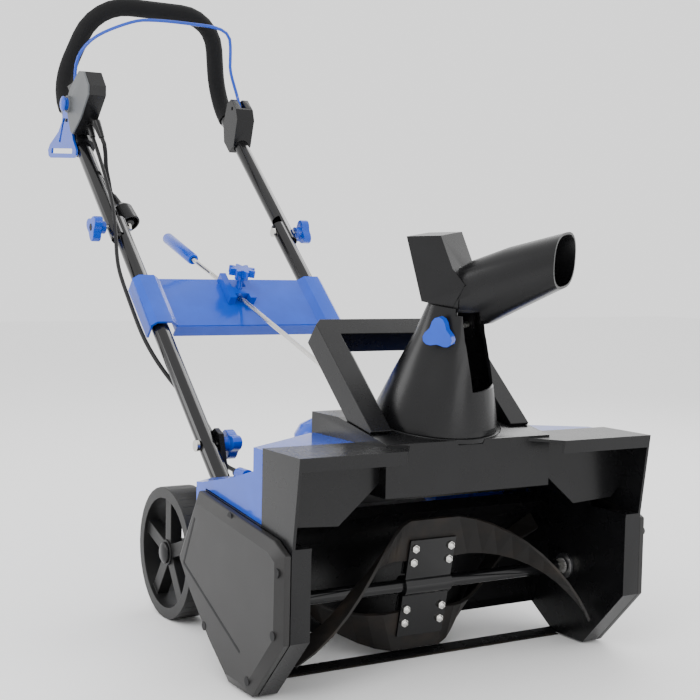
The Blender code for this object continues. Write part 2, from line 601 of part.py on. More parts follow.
def build_upper_handle():
    route = handle_route()
    handle = piped_mesh("upper_handle", route, TUBE_R, "black_paint", 4)
    first, last = Vector(route[0]), Vector(route[-1])
    bore = [first + (first - Vector(route[1])).normalized() * 0.005] + list(route[1:-1])
    bore.append(last + (last - Vector(route[-2])).normalized() * 0.005)
    cut(handle, piped_mesh("handle_bore_tool", bore, TUBE_R - TUBE_WALL, "black_paint", 4))
    turn = Matrix.Translation((0, aft(FOLD_AFT), FOLD_Z)) @ Matrix.Rotation(TUBE_ANGLE, 4, "X")
    for side, label in ((-1, "left"), (1, "right")):
        low, high = sorted((side * (FLAT_X + GAP / 2), side * 0.12))
        cut(handle, block(f"{label}_upper_flat_tool", (low, -0.05, -0.03), (high, 0.030, 0.03), place=turn))
        cut(handle, fold_hole(f"{label}_upper_fold", side, 0.14, 0.18, FOLD_Z))
    grip_route = [Vector(p) for p in route[1:-1]]
    start = grip_route[0].lerp(route[0], 0.02)
    end = grip_route[-1].lerp(route[-1], 0.02)
    grip = piped_mesh("foam_grip", [start] + grip_route + [end], 0.0148, "foam", 3)
    cut(grip, piped_mesh("foam_bore_tool", route, TUBE_R + GAP, "foam", 4))


def crossbar_frame():
    """X across the machine, Y up along the tubes, Z out of the panel's face."""
    place = Matrix.Translation((0, on_tube(0.405), 0.405)) @ Matrix.Rotation(TUBE_ANGLE, 4, "X")
    return place


def build_crossbar():
    """A moulded panel across the lower tubes: two half channels round the tubes and a flat face between them."""
    place = crossbar_frame()
    half = [(0.1175, 0.0065), (0.1275, 0.0150), (0.1485, 0.0150), (0.1545, 0.0095), (0.1545, -0.0140)]
    skin = [(0.1580, -0.0140), (0.1580, 0.0110), (0.1500, 0.0185), (0.1260, 0.0185), (0.1160, 0.0100)]
    right = half + skin
    shell = [(-x, z) for x, z in half[::-1]] + right[:5] + skin + [(-x, z) for x, z in skin[::-1]]
    panel = prism("crossbar_panel", shell, "Y", -0.0545, 0.0445, "blue_plastic", place)
    join(panel, block("panel_lip_top_tool", (-0.118, 0.0425, -0.010), (0.118, 0.0460, 0.009), place=place))
    join(panel, block("panel_lip_low_tool", (-0.118, -0.0560, -0.010), (0.118, -0.0525, 0.009), place=place))
    for side in (-1, 1):
        low, high = sorted((side * 0.1095, side * 0.1130))
        join(panel, block(f"panel_rib_tool_{side}", (low, -0.054, -0.0095), (high, 0.044, 0.0085), place=place))
    run, lift, middle = crank_axes()
    cut(panel, rod("panel_rod_hole", middle - run * 0.04, middle + run * 0.08, 0.0055, steps=12))
    bracket = block("crank_bracket", (-0.0215, -0.0100, 0.0103), (0.0215, 0.0440, 0.0240), "blue_plastic", place)
    cut(bracket, block("bracket_slot_low", (-0.0115, -0.03, 0.0050), (0.0115, -0.0010, 0.05), place=place))
    cut(bracket, block("bracket_slot_high", (-0.0115, 0.0130, 0.0050), (0.0115, 0.0600, 0.05), place=place))
    cut(bracket, rod("bracket_rod_hole", middle - run * 0.04, middle + run * 0.04, CRANK_R + RUNNING, steps=16))
    cut(bracket, rod("bracket_screw_hole", middle + lift * 0.001, middle + lift * 0.04, 0.0044, steps=12))
    lobed_knob("crossbar_knob", middle + lift * 0.0265, lift, 0.0212, 0.0180, lobes=8)
    join(bpy.data.objects["crossbar_knob"], rod("knob_screw_tool", middle + lift * 0.0042, middle + lift * 0.029,
                                                0.0040, steps=12))


# --- chute --------------------------------------------------------------------
def chute_frame():
    """Chute coordinates: first axis the discharge direction, second across, third up the chute."""
    return (Matrix.Translation((0, aft(CHUTE_AFT), CHUTE_Z)) @ Matrix.Rotation(CHUTE_TILT, 4, "X")
            @ Matrix.Rotation(-CHUTE_TURN, 4, "Z"))


def oval(centre_u, half_u, half_v, height, power=2.0, count=32):
    points = []
    for i in range(count):
        angle = math.tau * i / count
        c, s = math.cos(angle), math.sin(angle)
        points.append((centre_u + half_u * math.copysign(abs(c) ** (2 / power), c),
                       half_v * math.copysign(abs(s) ** (2 / power), s), height))
    return points


def build_chute():
    place = chute_frame()
    up = place.to_3x3() @ Vector((0, 0, 1))
    centre = place.translation
    ring_between("chute_ring", centre - up * 0.0060, centre - up * 0.0004, 0.0670, 0.0785, "black_plastic", 36)
    outer = [oval(0.000, 0.0746, 0.0746, 0.0), oval(0.000, 0.0740, 0.0740, 0.006),
             oval(0.0045, 0.0560, 0.0570, 0.060, 2.2), oval(0.0090, 0.0400, 0.0410, 0.106, 2.6),
             oval(0.0105, 0.0285, 0.0375, 0.142, 3.0)]
    barrel = lofted("chute_barrel", outer, "black_plastic", place)
    inner = [oval(0.000, 0.0716, 0.0716, -0.002), oval(0.000, 0.0710, 0.0710, 0.006),
             oval(0.0045, 0.0530, 0.0540, 0.060, 2.2), oval(0.0090, 0.0372, 0.0382, 0.106, 2.6),
             oval(0.0105, 0.0255, 0.0347, 0.145, 3.0)]
    cut(barrel, lofted("barrel_bore_tool", inner, "black_plastic", place))
    mouth = [(0.028, 0.050), (0.10, 0.050), (0.10, 0.20), (0.028, 0.20)]
    cut(barrel, prism("barrel_mouth_tool", mouth, "Y", -0.0325, 0.0325, place=place))
    for side in (-1, 1):       # room for the deflector's lower edge as it tilts
        low, high = sorted((side * 0.0295, side * 0.0380))
        cut(barrel, block(f"barrel_corner_tool_{side}", (0.0240, low, 0.1345), (0.0400, high, 0.1500), place=place))
    pivot = place @ Vector((TILT_U, 0, TILT_W))
    across = place.to_3x3() @ Vector((0, 1, 0))
    cut(barrel, rod("barrel_pivot_hole", pivot - across * 0.06, pivot + across * 0.06, 0.0043, steps=12))
    build_deflector(place, pivot, across)


def tube_section(u, w, lean, half_height, half_width):
    """A rounded section of the deflector at (u, w), leaning back by an angle from the chute's up direction."""
    points = []
    for i in range(28):
        angle = math.tau * i / 28
        c, s = math.cos(angle), math.sin(angle)
        rise = half_height * math.copysign(abs(s) ** 0.8, s)
        points.append((u - rise * math.sin(lean), half_width * math.copysign(abs(c) ** 0.75, c),
                       w + rise * math.cos(lean)))
    return points


def build_deflector(place, pivot, across):
    shape = [(0.012, 0.146, 30, 0.033, 0.0300), (0.040, 0.1605, 26, 0.0375, 0.0320),
             (0.075, 0.1810, 14, 0.0365, 0.0385), (0.1315, 0.2110, 4, 0.0315, 0.0410)]
    outer = [tube_section(u, w, math.radians(a), h, b) for u, w, a, h, b in shape]
    deflector = lofted("deflector", outer, "black_plastic", place)
    wall = 0.0028
    grip = [(-0.020, 0.143), (-0.047, 0.214), (-0.0055, 0.221), (0.013, 0.186), (0.030, 0.170), (0.018, 0.142)]
    join(deflector, prism("deflector_grip_tool", grip, "Y", -0.0325, 0.0325, place=place))
    ears = [(-0.0030, 0.098), (-0.0035, 0.1515), (0.0245, 0.1525), (0.0240, 0.098)]
    join(deflector, prism("deflector_ear_tool", ears, "Y", -0.0317, 0.0317, place=place))
    inside = [(-0.004, 0.134, 30, 0.033 - wall, 0.0300 - wall)]
    inside += [(u, w, a, h - wall, b - wall) for u, w, a, h, b in shape[1:]]
    last = shape[-1]
    inside.append((last[0] + 0.02, last[1] + 0.009, last[2], last[3] - wall, last[4] - wall))
    bore = [tube_section(u, w, math.radians(a), h, b) for u, w, a, h, b in inside]
    cut(deflector, lofted("deflector_bore_tool", bore, "black_plastic", place))
    low_room = [(-0.03, 0.085), (-0.03, 0.142), (0.050, 0.142), (0.050, 0.085)]
    cut(deflector, prism("deflector_room_tool", low_room, "Y", -0.0290, 0.0290, place=place))
    cut(deflector, rod("deflector_pivot_hole", pivot - across * 0.06, pivot + across * 0.06, 0.0043, steps=12))
    bolt = rod("deflector_bolt", pivot - across * 0.0515, pivot + across * 0.0440, 0.0039, "zinc", 12)
    join(bolt, rod("deflector_bolt_head", pivot + across * 0.0425, pivot + across * 0.0475, 0.0075, "zinc", 16))
    lobed_knob("deflector_knob", pivot - across * 0.0420, -across, 0.0195, 0.0185, bore=0.0043, spin=0.5)


def build_carry_handle():
    """A square-section arch that stands on the chute's seat and leans back."""
    base = Vector((0, aft(0.1492), 0.3110))
    place = Matrix.Translation(base) @ Matrix.Rotation(math.radians(40.8), 4, "X")
    arch = [(-0.110, -0.075), (-0.110, 0.098), (-0.101, 0.107), (0.101, 0.107), (0.110, 0.098), (0.110, -0.075),
            (0.083, -0.075), (0.083, 0.081), (-0.083, 0.081), (-0.083, -0.075)]
    handle = prism("carry_handle", arch, "Z", 0.0, 0.031, "black_plastic", place)
    ground = [(-0.10, 0.0)] + [(-0.10, 0.2505 + GAP), (0.143, 0.2945 + GAP), (0.30, 0.2945 + GAP), (0.30, 0.0)]
    cut(handle, prism("handle_foot_tool", side_view(ground), "X", -0.2, 0.2))


def crank_axes():
    """The crank's direction up the machine, the direction across its slope, and its point in the bracket."""
    run = Vector((0, math.cos(CRANK_ANGLE), math.sin(CRANK_ANGLE)))
    lift = Vector((0, -math.sin(CRANK_ANGLE), math.cos(CRANK_ANGLE)))
    return run, lift, Vector((0, aft(CRANK_AFT), CRANK_Z))


def build_crank():
    run, lift, middle = crank_axes()
    start = middle - run * 0.4755
    elbow = middle + run * CRANK_ELBOW
    arm = elbow + Vector((ARM_X, 0, 0)) + lift * ARM_LIFT
    route = rounded([start, elbow, arm, arm + run * 0.110], [0.006, 0.006], 4)
    crank = piped_mesh("crank_rod", route, CRANK_R, "zinc", 2)
    join(crank, rod("worm_tool", start + run * 0.0005, start + run * 0.0110, 0.0078, steps=16))
    ring = [(CRANK_R + RUNNING, 0), (0.0080, 0), (0.0092, 0.004), (0.0092, 0.108), (0.0070, 0.1135), (0, 0.1135),
            (0, 0.1110), (CRANK_R + RUNNING, 0.1110)]
    turned("crank_grip", ring, arm + run * 0.006, run, "blue_plastic", 16)


# --- controls -------------------------------------------------------------------
def beside_tube(x, along, normal):
    """A point given by X, the distance up the tubes from the fold, and the height above their centre line."""
    c, s = math.cos(TUBE_ANGLE), math.sin(TUBE_ANGLE)
    return Vector((x, aft(FOLD_AFT) + along * c - normal * s, FOLD_Z + along * s + normal * c))


def tube_plane():
    """Y up along the tubes from the fold, Z above their centre line."""
    return Matrix.Translation((0, aft(FOLD_AFT), FOLD_Z)) @ Matrix.Rotation(TUBE_ANGLE, 4, "X")


BUTTON = (0.2460, 0.0500)       # along and above the tube
HOOK_PIN = (0.268, 0.036)
PLATE = [(0.2045, 0.0215), (0.1915, 0.062), (0.1865, 0.112), (0.1960, 0.1235), (0.2280, 0.1270), (0.2465, 0.1145),
         (0.2640, 0.066), (0.2640, 0.044), (0.2520, 0.033), (0.2150, 0.0185)]


def build_switch_box():
    place = tube_plane()
    bail = place.inverted() @ Vector((0, aft(BAIL_AFT), BAIL_Z))
    outline = PLATE[:6] + [(0.2700, 0.074), (0.2860, 0.056), (0.2860, 0.034), (0.2700, 0.020), (0.2150, 0.0180)]
    box = prism("switch_box", outline, "X", *BOX_X, place=place)
    join(box, rod("box_clamp_tool", beside_tube(-UPPER_X, 0.196, 0), beside_tube(-UPPER_X, 0.272, 0), 0.0188, steps=24))
    cut(box, rod("box_clamp_bore", beside_tube(-UPPER_X, 0.10, 0), beside_tube(-UPPER_X, 0.34, 0),
                 TUBE_R + GAP, steps=24))
    pocket = [(0.2080, 0.0300), (0.1960, 0.062), (0.1915, 0.110), (0.1995, 0.1190), (0.2260, 0.1220),
              (0.2405, 0.112), (0.2535, 0.076), (0.2535, 0.050), (0.2440, 0.038), (0.2250, 0.030)]
    cut(box, prism("box_pocket_tool", pocket, "X", -0.170, BOX_X[1] - 0.0035, place=place))
    hook_room = [(0.1750, -0.0300), (0.1750, 0.0100), (0.2051, 0.0130), (0.2311, 0.0265), (0.2480, 0.0400),
                 (0.2480, 0.0580), (0.3100, 0.0580), (0.3100, -0.0300)]
    cut(box, prism("hook_room_tool", hook_room, "X", -0.180, -0.1592, place=place))
    pin = place @ Vector((-0.1580, *HOOK_PIN))
    join(box, rod("hook_pin_tool", pin, pin + Vector((-0.0062, 0, 0)), 0.0030, steps=12))
    slot = [(bail.y - 0.0085, bail.z - 0.0085), (bail.y - 0.0085, bail.z + 0.030), (bail.y + 0.05, bail.z + 0.030),
            (bail.y + 0.05, bail.z - 0.0085)]
    cut(box, prism("bail_slot_left", slot, "X", -0.1515, -0.1435, place=place))
    cut(box, rod("bail_hole_left", (-0.150, aft(BAIL_AFT), BAIL_Z), (-0.130, aft(BAIL_AFT), BAIL_Z),
                 BAIL_R + RUNNING, steps=12))
    hub = place @ Vector((0, *BUTTON))
    cut(box, rod("button_room_tool", hub + Vector((-0.180, 0, 0)), hub + Vector((-0.1540, 0, 0)), 0.0112, steps=24))
    plate = prism("switch_plate", PLATE, "X", -0.1690, BOX_X[0] - GAP, "grey_plastic", place)
    out = Vector((-1, 0, 0))
    join(plate, rod("bezel_tool", hub + out * 0.1680, hub + out * 0.1745, 0.0137, steps=24))
    cut(plate, rod("bezel_bore", hub + out * 0.15, hub + out * 0.19, 0.0105, steps=24))
    stem = [(0, 0.1600), (0.0100, 0.1600), (0.0100, 0.1790), (0.0125, 0.1790), (0.0118, 0.1818), (0.0075, 0.1834),
            (0, 0.1838)]
    turned("safety_button", stem, hub, out, "blue_plastic", 24)


def build_bail():
    pivot = Vector((0, aft(BAIL_AFT), BAIL_Z))
    foot = Vector((0, aft(0.970), 0.757))
    up = Vector((0, math.cos(math.radians(105)), math.sin(math.radians(105))))
    outline = [(-0.1470, 0.004), (-0.1450, 0.045), (-0.1180, 0.080), (-0.0600, 0.109), (-0.0200, 0.116),
               (0.0450, 0.117), (0.0950, 0.115), (0.1180, 0.103), (0.1250, 0.075), (0.1290, 0.045), (0.1470, 0.004)]
    points = [pivot + Vector((-0.1470, 0, 0))] + [foot + up * t + Vector((x, 0, 0)) for x, t in outline]
    points.append(pivot + Vector((0.1470, 0, 0)))
    wire = smooth_route(points, 0.012)
    wire = [pivot + Vector((-0.1392, 0, 0)), pivot + Vector((-0.1445, 0, 0))] + wire[:]
    wire += [pivot + Vector((0.1445, 0, 0)), pivot + Vector((0.1392, 0, 0))]
    bail = piped_mesh("bail_lever", wire, BAIL_R, "blue_plastic", 2)
    return bail


def build_bail_bracket():
    place = tube_plane()
    bail = place.inverted() @ Vector((0, aft(BAIL_AFT), BAIL_Z))
    outline = [(0.232, -0.016), (0.226, 0.004), (0.245, 0.046), (0.262, 0.056), (0.290, 0.056), (0.297, 0.042),
               (0.286, 0.006), (0.262, -0.016)]
    bracket = prism("bail_bracket", outline, "X", 0.1305, 0.1635, place=place)
    cut(bracket, rod("bracket_bore_tool", beside_tube(UPPER_X, 0.20, 0), beside_tube(UPPER_X, 0.34, 0),
                     TUBE_R + GAP, steps=24))
    slot = [(bail.y - 0.0085, bail.z - 0.0085), (bail.y - 0.0085, bail.z + 0.030), (bail.y + 0.05, bail.z + 0.030),
            (bail.y + 0.05, bail.z - 0.0085)]
    cut(bracket, prism("bail_slot_right", slot, "X", 0.1425, 0.1515, place=place))
    cut(bracket, rod("bail_hole_right", (0.125, aft(BAIL_AFT), BAIL_Z), (0.150, aft(BAIL_AFT), BAIL_Z),
                     BAIL_R + RUNNING, steps=12))


def build_cord_hook():
    place = tube_plane()
    pin = place @ Vector((0, *HOOK_PIN))
    outline = [(0.948, 0.720), (0.950, 0.731), (0.962, 0.735), (0.974, 0.730), (0.980, 0.716), (0.985, 0.695),
               (1.003, 0.680), (1.048, 0.662), (1.058, 0.653), (1.055, 0.643), (1.044, 0.639), (0.926, 0.632),
               (0.915, 0.636), (0.914, 0.645), (0.930, 0.662), (0.940, 0.690)]
    hook = prism("cord_hook", side_view(outline), "X", -0.1638, -0.1602, "blue_plastic")
    cut(hook, rod("hook_pin_hole", pin + Vector((-0.18, 0, 0)), pin + Vector((-0.15, 0, 0)), 0.0034, steps=12))
    low_slot = [(0.934, 0.6395), (0.932, 0.6475), (1.038, 0.6545), (1.040, 0.6465)]
    cut(hook, prism("hook_low_slot", side_view(low_slot), "X", -0.18, -0.15))
    high_slot = [(1.000, 0.6630), (0.978, 0.7000), (0.955, 0.6975), (0.955, 0.6920), (0.974, 0.6940), (0.992, 0.6610)]
    cut(hook, prism("hook_high_slot", side_view(high_slot), "X", -0.18, -0.15))


# --- cables ------------------------------------------------------------------------
PIGTAIL = [(-0.1375, 0.160, 0.050), (-0.1320, 0.143, 0.032), (-0.1285, 0.133, 0.012), (-0.1230, 0.121, -0.006),
           (-0.1180, 0.101, -0.019)]       # X, along and above the tube
PLUG_FACE = (-0.1080, 0.036, -0.022)
UPPER_CABLE = [(-0.1475, 0.171, 0.042), (-0.1470, 0.150, 0.039), (-0.1460, 0.115, 0.033), (-0.1460, 0.075, 0.0265),
               (-0.1480, 0.035, 0.0225), (-0.1530, 0.000, 0.0190), (-0.1590, -0.035, 0.0140), (-0.1650, -0.070, 0.006),
               (-0.1680, -0.105, 0.000), (-0.1680, -0.170, -0.004), (-0.1670, -0.225, -0.006), (-0.1600, -0.262, -0.011),
               (-0.1480, -0.295, -0.0175), (-0.1340, -0.335, -0.0195), (-0.1180, -0.380, -0.020)]
LOWER_CABLE = [(-0.1050, 0.4900, 0.2170), (-0.1080, 0.4570, 0.1960), (-0.1120, 0.4200, 0.1930),
               (-0.1180, 0.3980, 0.1950), (-0.1290, 0.3820, 0.1980), (-0.1350, 0.3666, 0.1990)]    # X, aft, Z


def build_cords():
    relief_top, relief_end = Vector((-0.1440, 0.1868, 0.0630)), Vector(PIGTAIL[0])
    start, end = beside_tube(*relief_top), beside_tube(*relief_end)
    gap = (end - start).normalized() * GAP
    length = (end - start).length - GAP
    turned("pigtail_relief", [(0, 0), (0.0068, 0), (0.0068, 0.004), (0.0044, length), (0, length)], start,
           end - start, "black_plastic", 16)
    face = beside_tube(*PLUG_FACE)
    neck = beside_tube(*PIGTAIL[-1])
    out = (face - neck).normalized()
    leave = [end + gap * step for step in (1.5, 20, 35)]
    arrive = [neck - out * GAP * step for step in (35, 20, 1.5)]
    route = leave + [beside_tube(*p) for p in PIGTAIL[1:-1]] + arrive
    piped("pigtail_cord", smooth_route(route, 0.006), PIGTAIL_R, "cable", 3)
    size = (face - neck).length
    plug = turned("inlet_plug", [(0, 0), (0.0050, 0), (0.0075, 0.024), (0.0120, 0.028), (0.0178, 0.036), (0.0178, size),
                                 (0, size)], neck, out, "black_plastic", 28)
    cut(plug, ring_between("plug_socket_tool", face - out * 0.014, face + out * 0.01, 0.0085, 0.0150))
    top = beside_tube(-0.1475, 0.1930, 0.0460)
    exit_point = beside_tube(*UPPER_CABLE[0])
    drop = exit_point - top
    turned("cable_relief", [(0, 0), (0.0062, 0), (0.0042, drop.length - GAP), (0, drop.length - GAP)], top, drop,
           "black_plastic", 16)
    route = [beside_tube(*p) for p in UPPER_CABLE] + [Vector((x, aft(y), z)) for x, y, z in LOWER_CABLE]
    piped("motor_cable", smooth_route(route, 0.0125), CABLE_R, "cable", 2)


build_housing()
build_side_covers()
build_scraper()
build_motor_cover()
build_drive()
build_auger()
build_wheels()
build_rear_frame()
build_lower_tubes()
build_upper_handle()
build_crossbar()
build_chute()
build_carry_handle()
build_crank()
build_switch_box()
build_bail()
build_bail_bracket()
build_cord_hook()
build_cords()
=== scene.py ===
import json
import math

import bmesh
import bpy
from mathutils import Matrix, Vector
from mathutils.bvhtree import BVHTree


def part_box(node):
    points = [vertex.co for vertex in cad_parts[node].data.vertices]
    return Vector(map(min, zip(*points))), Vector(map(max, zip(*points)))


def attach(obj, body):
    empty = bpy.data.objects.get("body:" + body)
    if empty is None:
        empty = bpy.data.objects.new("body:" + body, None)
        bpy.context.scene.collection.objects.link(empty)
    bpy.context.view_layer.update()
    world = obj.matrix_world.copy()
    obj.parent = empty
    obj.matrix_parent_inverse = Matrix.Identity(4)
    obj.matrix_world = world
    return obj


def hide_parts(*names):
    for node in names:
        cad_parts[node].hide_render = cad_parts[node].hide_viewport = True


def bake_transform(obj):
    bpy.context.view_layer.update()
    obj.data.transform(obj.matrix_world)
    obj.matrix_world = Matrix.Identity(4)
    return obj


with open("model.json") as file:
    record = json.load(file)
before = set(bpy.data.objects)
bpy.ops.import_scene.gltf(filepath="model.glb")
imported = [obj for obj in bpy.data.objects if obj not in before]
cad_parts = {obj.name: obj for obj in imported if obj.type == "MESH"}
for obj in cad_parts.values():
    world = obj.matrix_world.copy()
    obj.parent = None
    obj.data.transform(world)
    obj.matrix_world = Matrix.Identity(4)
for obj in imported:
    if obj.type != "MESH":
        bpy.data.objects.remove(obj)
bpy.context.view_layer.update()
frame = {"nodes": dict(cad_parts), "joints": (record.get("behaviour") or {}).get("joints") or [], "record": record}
NODES = frame["nodes"]
BODIES = frame["record"]["behaviour"]["bodies"]
BODY_OF = {node: body for body, nodes in BODIES.items() for node in nodes}
SLOT_OF = {part["node"]: part["material_slot"] for part in frame["record"]["subparts"]}

TUBE_ANGLE = math.radians(41.4)
ALONG = Vector((0, math.cos(TUBE_ANGLE), math.sin(TUBE_ANGLE)))
NORMAL = Vector((0, -math.sin(TUBE_ANGLE), math.cos(TUBE_ANGLE)))
FOLD = Vector((0, 0.6382, 0.518))
AUGER_CENTRE = Vector((0, -0.015, 0.092))
COLLAR_X, COLLAR_RIBS = 0.2000, 20
WHEEL_X, WHEEL_Y, WHEEL_Z, TREAD_BARS = 0.182, 0.298, 0.0865, 40
COVER_X = 0.2515
COVER_SCREWS = [(0.0034, 0.1895), (-0.1157, 0.1517), (-0.1112, 0.0846), (-0.0527, 0.0207), (0.0601, 0.0534)]
COVER_LINE = [(0.0899, 0.1732), (0.1198, 0.1146), (-0.0336, 0.0474)]
CORD_R = 0.0034
GAP = 0.0003

camera = bpy.data.objects.new("camera", bpy.data.cameras.new("camera"))
bpy.context.scene.collection.objects.link(camera)
camera.location = (-0.8816, -1.3333, 0.4757)
camera.rotation_euler = (1.5124, -0.0181, -0.5385)
camera.data.lens = 69.084
camera.data.sensor_width = 36
camera.data.shift_x = -0.01765
camera.data.shift_y = -0.01646
camera.data.clip_start = 0.05
bpy.context.scene.camera = camera


def material(name, colour, rough, metal=0.0, grain=0.0, grain_size=900, patch=0.0, other=None, coat=0.0):
    """A surface with a fine grain in its relief and slow patches in its colour and gloss."""
    m = bpy.data.materials.new(name)
    m.use_nodes = True
    tree = m.node_tree
    surface = tree.nodes["Principled BSDF"]
    surface.inputs["Metallic"].default_value = metal
    surface.inputs["Coat Weight"].default_value = coat
    surface.inputs["Coat Roughness"].default_value = 0.06
    surface.inputs["Specular IOR Level"].default_value = 0.5 if metal else 0.28
    place = tree.nodes.new("ShaderNodeTexCoord")
    slow = tree.nodes.new("ShaderNodeTexNoise")
    slow.inputs["Scale"].default_value = 28
    slow.inputs["Detail"].default_value = 5
    tree.links.new(place.outputs["Object"], slow.inputs["Vector"])
    mix = tree.nodes.new("ShaderNodeMix")
    mix.data_type = "RGBA"
    mix.inputs[6].default_value = (*colour, 1)
    mix.inputs[7].default_value = (*(other or [min(1, c * (1 + patch)) for c in colour]), 1)
    ramp = tree.nodes.new("ShaderNodeMapRange")
    ramp.inputs["From Min"].default_value = 0.45
    ramp.inputs["From Max"].default_value = 0.72
    tree.links.new(slow.outputs["Fac"], ramp.inputs["Value"])
    tree.links.new(ramp.outputs["Result"], mix.inputs[0])
    tree.links.new(mix.outputs[2], surface.inputs["Base Color"])
    gloss = tree.nodes.new("ShaderNodeMapRange")
    gloss.inputs["To Min"].default_value = rough * 0.88
    gloss.inputs["To Max"].default_value = min(1, rough * 1.14)
    tree.links.new(slow.outputs["Fac"], gloss.inputs["Value"])
    tree.links.new(gloss.outputs["Result"], surface.inputs["Roughness"])
    if grain:
        fine = tree.nodes.new("ShaderNodeTexNoise")
        fine.inputs["Scale"].default_value = grain_size
        fine.inputs["Detail"].default_value = 3
        tree.links.new(place.outputs["Object"], fine.inputs["Vector"])
        bump = tree.nodes.new("ShaderNodeBump")
        bump.inputs["Strength"].default_value = grain
        bump.inputs["Distance"].default_value = 0.0004
        tree.links.new(fine.outputs["Fac"], bump.inputs["Height"])
        tree.links.new(bump.outputs["Normal"], surface.inputs["Normal"])
    return m


LOOKS = {
    "black_plastic": material("black_plastic", (0.0045, 0.0045, 0.005), 0.27, grain=0.10, patch=0.25),
    "satin_plastic": material("satin_plastic", (0.017, 0.0165, 0.0165), 0.42, grain=0.35, patch=0.15),
    "blue_plastic": material("blue_plastic", (0.004, 0.058, 0.46), 0.22, grain=0.05, patch=0.15, coat=0.3),
    "blue_wire": material("blue_wire", (0.004, 0.050, 0.42), 0.24, coat=0.4, patch=0.1),
    "black_paint": material("black_paint", (0.004, 0.004, 0.0045), 0.16, coat=0.25, patch=0.2),
    "foam": material("foam", (0.005, 0.005, 0.0055), 0.92, grain=1.0, grain_size=1400, patch=0.4),
    "zinc": material("zinc", (0.60, 0.59, 0.56), 0.27, metal=1.0, grain=0.08, patch=0.1),
    "rubber": material("rubber", (0.008, 0.007, 0.0065), 0.58, grain=0.5, grain_size=500,
                       other=(0.022, 0.016, 0.012)),
    "wheel_plastic": material("wheel_plastic", (0.008, 0.008, 0.008), 0.42, grain=0.25, patch=0.3),
    "steel": material("steel", (0.23, 0.23, 0.24), 0.38, metal=1.0, grain=0.1, patch=0.15),
    "grey_plastic": material("grey_plastic", (0.10, 0.105, 0.11), 0.42, grain=0.2, patch=0.05),
    "cable": material("cable", (0.005, 0.005, 0.0055), 0.48, grain=0.15, patch=0.2),
}
BOLT = material("plated_bolt", (0.66, 0.65, 0.62), 0.22, metal=1.0)
# Matte near-black: the cover screws and cover lines, and also painted shade in each knob's hexagonal hollow.
DARK_MARKS_AND_SHADE = material("recess_shade_and_dark_marks", (0.006, 0.006, 0.007), 0.6)


def place_mesh(name, shape, look, body, smooth=40):
    """Writes a bmesh out as one piece in the row frame, riding on its body."""
    data = bpy.data.meshes.new(name)
    shape.to_mesh(data)
    shape.free()
    data.materials.clear()
    data.materials.append(look)
    piece = bpy.data.objects.new(name, data)
    bpy.context.scene.collection.objects.link(piece)
    data.shade_smooth()
    data.set_sharp_from_angle(angle=math.radians(smooth))
    if body:
        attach(piece, body)
    return piece


WIDTHS = {"satin_plastic": 0.0016, "black_plastic": 0.0009, "blue_plastic": 0.0011, "grey_plastic": 0.0008,
          "wheel_plastic": 0.0008, "rubber": 0.0004, "black_paint": 0.0004, "steel": 0.0004, "zinc": 0.0003}
PLAIN = {"foam_grip", "bail_lever", "motor_cable", "drive_belt"}      # round already, so no bevel
for node, source in NODES.items():
    if node == "pigtail_cord":
        continue
    shape = bmesh.new()
    shape.from_mesh(source.data)
    bmesh.ops.transform(shape, matrix=source.matrix_world, verts=shape.verts)
    bmesh.ops.remove_doubles(shape, verts=shape.verts, dist=0.00001)
    bmesh.ops.recalc_face_normals(shape, faces=shape.faces)
    if node not in PLAIN:
        bmesh.ops.dissolve_limit(shape, angle_limit=math.radians(0.6), verts=shape.verts, edges=shape.edges)
    look = LOOKS[SLOT_OF[node]]
    blended = node == "motor_cable"
    piece = place_mesh(f"{node}_shell", shape, look, None if blended else BODY_OF[node], 34)
    if node not in PLAIN:
        edge = piece.modifiers.new("edge", "BEVEL")
        edge.width = WIDTHS.get(SLOT_OF[node], 0.0004)
        edge.segments = 2
        edge.limit_method = "ANGLE"
        edge.angle_limit = math.radians(34)
        edge.use_clamp_overlap = True
        edge.harden_normals = True
    if blended:
        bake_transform(piece)
    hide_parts(node)


def struck(node, start, way):
    """Where a line from start first meets a CAD node, or None."""
    mesh = NODES[node].data
    corners = [NODES[node].matrix_world @ v.co for v in mesh.vertices]
    tree = BVHTree.FromPolygons(corners, [p.vertices[:] for p in mesh.polygons])
    return tree.ray_cast(Vector(start), Vector(way))[0]


def facing(axis):
    """The turn that takes up to this axis."""
    return Vector((0, 0, 1)).rotation_difference(Vector(axis)).to_matrix().to_4x4()


def disc(shape, at, axis, radius, depth, steps=20, top=None):
    """A disc, or a cone where top is given, standing from a point along an axis."""
    turn = Matrix.Translation(Vector(at) + Vector(axis).normalized() * depth / 2) @ facing(axis)
    bmesh.ops.create_cone(shape, cap_ends=True, segments=steps, radius1=radius,
                          radius2=radius if top is None else top, depth=depth, matrix=turn)


def prism(shape, outline, x, depth):
    """A flat plate from (y, z) points, standing out from x by depth along X."""
    lower = [shape.verts.new((x, y, z)) for y, z in outline]
    upper = [shape.verts.new((x + depth, y, z)) for y, z in outline]
    shape.faces.new(lower[::-1])
    shape.faces.new(upper)
    for i in range(len(outline)):
        j = (i + 1) % len(outline)
        shape.faces.new((lower[i], lower[j], upper[j], upper[i]))


def soften(piece, width, segments=2):
    """Rounds the sharp edges of a piece."""
    edge = piece.modifiers.new("edge", "BEVEL")
    edge.width = width
    edge.segments = segments
    edge.limit_method = "ANGLE"
    return piece


